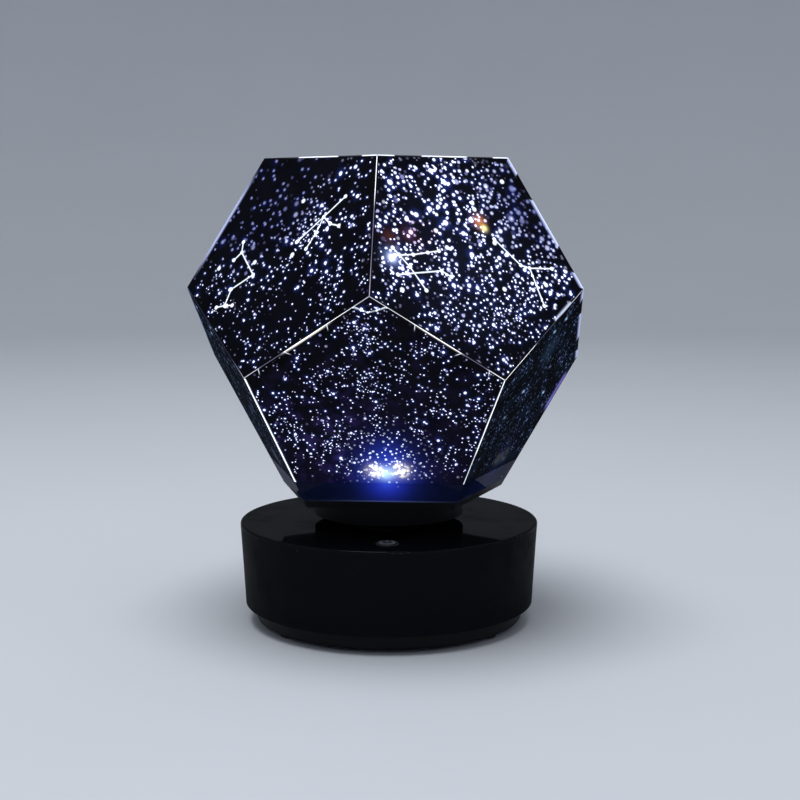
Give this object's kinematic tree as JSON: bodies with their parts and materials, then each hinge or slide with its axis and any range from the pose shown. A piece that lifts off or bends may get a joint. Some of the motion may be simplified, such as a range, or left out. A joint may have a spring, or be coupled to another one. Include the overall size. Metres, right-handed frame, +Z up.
{
  "type": "planetarium projector",
  "caption": "Home planetarium lamp: a dodecahedral dome of pinhole star film turns on a round motorised base, around a fixed LED on a hollow post.",
  "frame": {"origin": "centre of the base on the resting plane, under the turntable's axis", "axes": "+Z up along the turntable's axis, -Y to the front (the power key's side), +X to the right seen from the front"},
  "size_m": [0.16, 0.1646, 0.1906],
  "materials": {
    "gloss_black": "polished black ABS",
    "matte_black": "satin black ABS",
    "key_black": "satin black ABS key",
    "rubber": "matt rubber",
    "screw_steel": "zinc-plated steel",
    "cell_sleeve": null,
    "nickel": "nickel-plated spring steel",
    "circuit_board": "green solder mask",
    "component": "moulded component cases",
    "lead_sleeve": "PVC lead sleeve",
    "plate_metal": "stamped sheet",
    "motor_case": "drawn steel can",
    "bush_brass": "turned brass",
    "gear_white": "natural acetal",
    "post_metal": "dark anodised tube",
    "led_board_white": "white solder mask on a metal core",
    "led_phosphor": "yellow phosphor on white ceramic",
    "led_silicone": "clear silicone dome",
    "star_film": "printed dark film with clear star holes",
    "tab_film": "doubled film at the glue tabs",
    "collar_clear": "blue-tinted clear moulding"
  },
  "bodies": {
    "base": {"base_shell": "gloss_black", "bottom_cover": "matte_black", "rubber_feet": "rubber", "cover_screws": "screw_steel", "battery_holder": "matte_black", "battery_door": "matte_black", "door_screw": "screw_steel", "battery_cells": "cell_sleeve", "battery_springs": "nickel", "battery_contacts": "nickel", "main_board": "circuit_board", "board_components": "component", "usb_socket": "nickel", "lamp_leads": "lead_sleeve", "key_leads": "lead_sleeve", "motor_leads": "lead_sleeve", "gear_plate": "plate_metal", "plate_screws": "screw_steel", "drive_motor": "motor_case", "motor_screws": "screw_steel", "bearing_bush": "bush_brass", "thrust_washer": "gear_white", "lamp_post": "post_metal", "post_screws": "screw_steel", "lamp_head": "post_metal", "led_board": "led_board_white", "led_emitter": "led_phosphor", "led_dome": "led_silicone", "tact_switch": "component", "key_board": "circuit_board"},
    "turntable": {"turntable": "matte_black", "main_gear": "gear_white", "retaining_clip": "screw_steel"},
    "pinion": {"drive_pinion": "gear_white", "motor_shaft": "screw_steel"},
    "key": {"power_key": "key_black", "switch_plunger": "component"},
    "dome": {"dome_tray": "matte_black", "dome_collar": "collar_clear", "panel_top": "star_film", "top_tabs": "tab_film", "upper_tabs": "tab_film", "belt_tabs": "tab_film", "panel_upper_1": "star_film", "panel_upper_2": "star_film", "panel_upper_3": "star_film", "panel_upper_4": "star_film", "panel_upper_5": "star_film", "panel_lower_1": "star_film", "panel_lower_2": "star_film", "panel_lower_3": "star_film", "panel_lower_4": "star_film", "panel_lower_5": "star_film"}
  },
  "joints": [
    {"name": "turntable_spin", "type": "hinge", "parent": "base", "child": "turntable", "pos_m": [0, 0, 0.045], "axis": [0, 0, 1], "continuous": true},
    {"name": "pinion_spin", "type": "hinge", "parent": "base", "child": "pinion", "pos_m": [0, -0.0246, 0.0335], "axis": [0, 0, 1], "continuous": true},
    {"name": "key_press", "type": "slide", "parent": "base", "child": "key", "axis": [0, 0, -1], "range_m": [0, 0.0005], "stiffness_N_per_m": 1500},
    {"name": "dome_lift", "type": "slide", "parent": "turntable", "child": "dome", "axis": [0, 0, 1], "range_m": [0, 0.06]}
  ],
  "couplings": [
    {"joint": "pinion_spin", "follows": "turntable_spin", "ratio": -3.5556}
  ]
}
